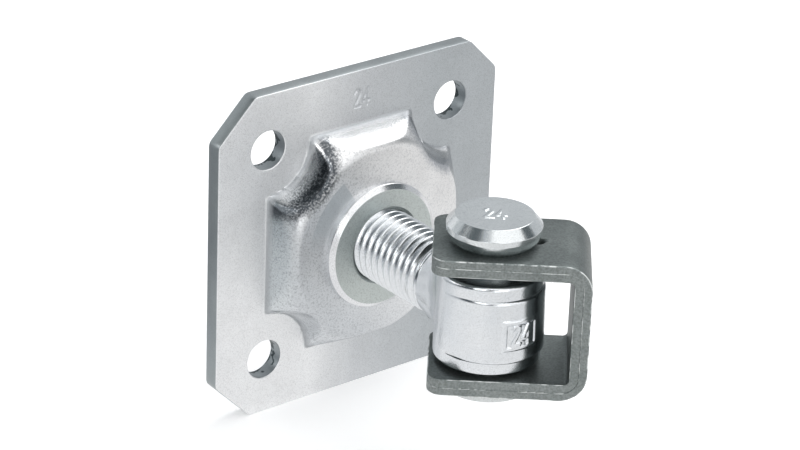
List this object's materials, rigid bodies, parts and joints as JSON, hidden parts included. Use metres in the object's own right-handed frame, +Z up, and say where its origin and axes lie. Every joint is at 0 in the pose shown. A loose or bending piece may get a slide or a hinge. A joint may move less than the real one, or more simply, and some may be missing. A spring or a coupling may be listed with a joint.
{
  "type": "adjustable gate hinge",
  "caption": "Gate hinge with a domed bolt-on wall plate, a screw-adjusted eye bolt and a weld-on U bracket that swings on a headed pin.",
  "frame": {"origin": "middle of the four-hole bolt pattern, in the plane of the plate's back, on the eye bolt's axis", "axes": "+Z up along the hinge pin, +Y out of the plate's back into the post, the eye bolt stands out along -Y"},
  "size_m": [0.11, 0.1042, 0.11],
  "materials": {
    "plate_zinc": "bright zinc plating on pressed sheet, satin",
    "nut_zinc": "bright zinc plating on turned steel",
    "bolt_zinc": "bright zinc plating on forged and threaded steel",
    "pin_zinc": "bright zinc plating on forged steel",
    "bracket_steel": "raw mill steel with sheared edges",
    "retainer_zinc": "bright zinc plating"
  },
  "bodies": {
    "wall_side": {"mounting_plate": "plate_zinc", "collar_nut": "nut_zinc"},
    "bolt": {"eye_bolt": "bolt_zinc"},
    "leaf": {"u_bracket": "bracket_steel", "hinge_pin": "pin_zinc", "pin_retainer": "retainer_zinc"}
  },
  "joints": [
    {"name": "bolt_adjust", "type": "slide", "parent": "wall_side", "child": "bolt", "axis": [0, 1, 0], "range_m": [-0.004, 0.015]},
    {"name": "bracket_swing", "type": "hinge", "parent": "bolt", "child": "leaf", "pos_m": [0, -0.0717, 0], "axis": [0, 0, 1], "range_deg": [-169.5, 70.5]}
  ]
}
